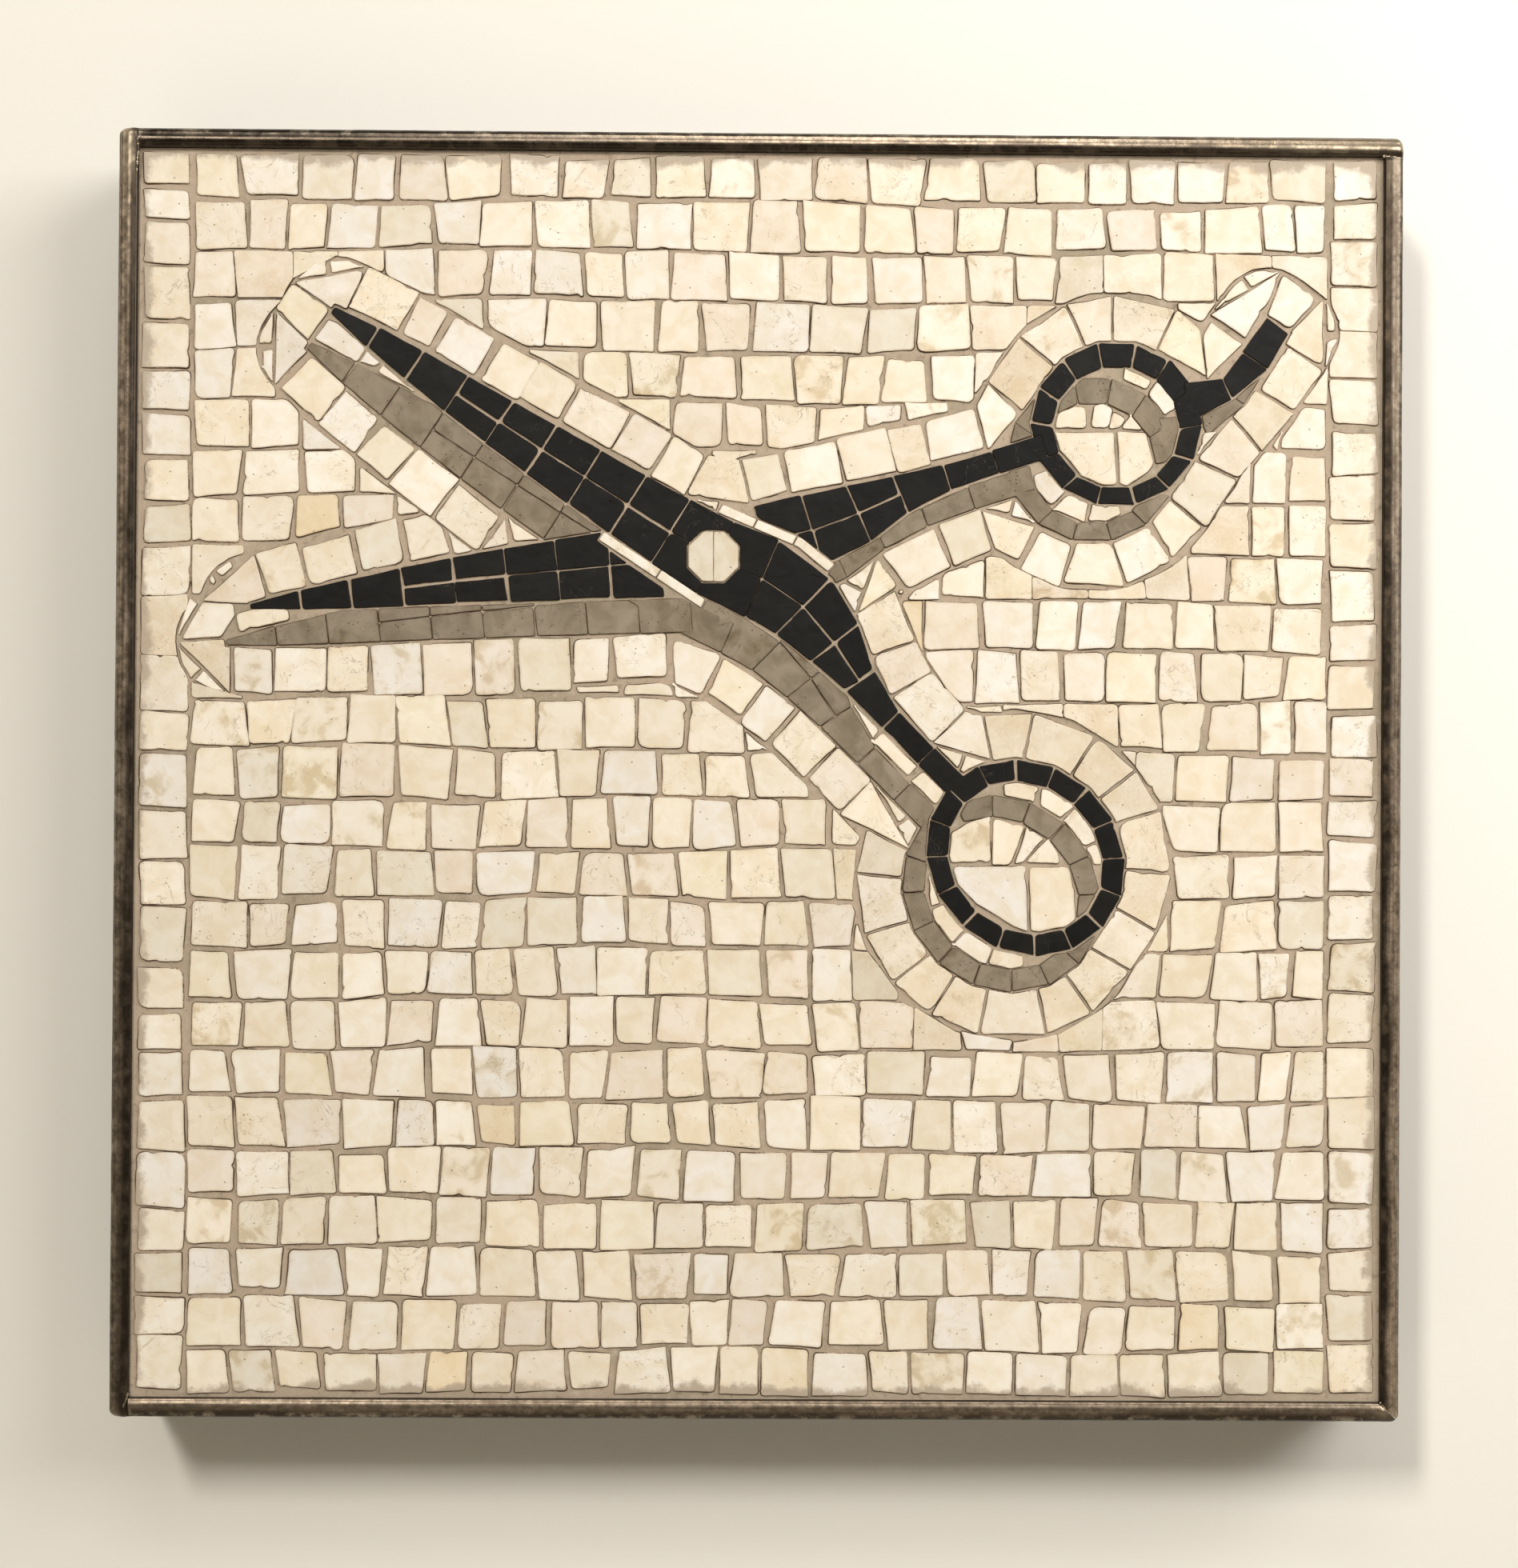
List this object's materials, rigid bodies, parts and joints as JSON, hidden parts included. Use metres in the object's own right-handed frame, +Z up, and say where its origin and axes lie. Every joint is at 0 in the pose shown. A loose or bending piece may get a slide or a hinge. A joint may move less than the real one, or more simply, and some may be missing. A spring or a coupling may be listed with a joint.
{
  "type": "mosaic panel",
  "caption": "Square wall panel: a hand-cut stone mosaic of open scissors and their cast shadow on a cream ground, in a welded flat steel bar frame.",
  "frame": {"origin": "back face of the top bar, halfway along the bar and halfway through its thickness", "axes": "+X to the right as seen from the front, +Y from the front back into the wall, +Z up"},
  "size_m": [0.258, 0.03, 0.258],
  "materials": {
    "steel": "patinated, ground and waxed",
    "board": "matte",
    "mortar": "rough",
    "cream_stone": "hand cut, honed",
    "taupe_stone": "hand cut, honed",
    "black_stone": "hand cut, honed",
    "pivot_stone": "hand cut, honed",
    "white_stone": "hand cut, honed"
  },
  "bodies": {
    "root": {"frame_bar_top": "steel", "frame_bar_bottom": "steel", "frame_bar_left": "steel", "frame_bar_right": "steel", "backing_board": "board", "mortar_bed": "mortar", "ground_tesserae": "cream_stone", "shadow_tesserae": "taupe_stone", "over_half_tesserae": "black_stone", "under_blade_tesserae": "black_stone", "under_handle_tesserae": "black_stone", "pivot_tesserae": "pivot_stone", "highlight_slip_lower": "white_stone", "highlight_slip_upper": "white_stone"}
  },
  "joints": []
}
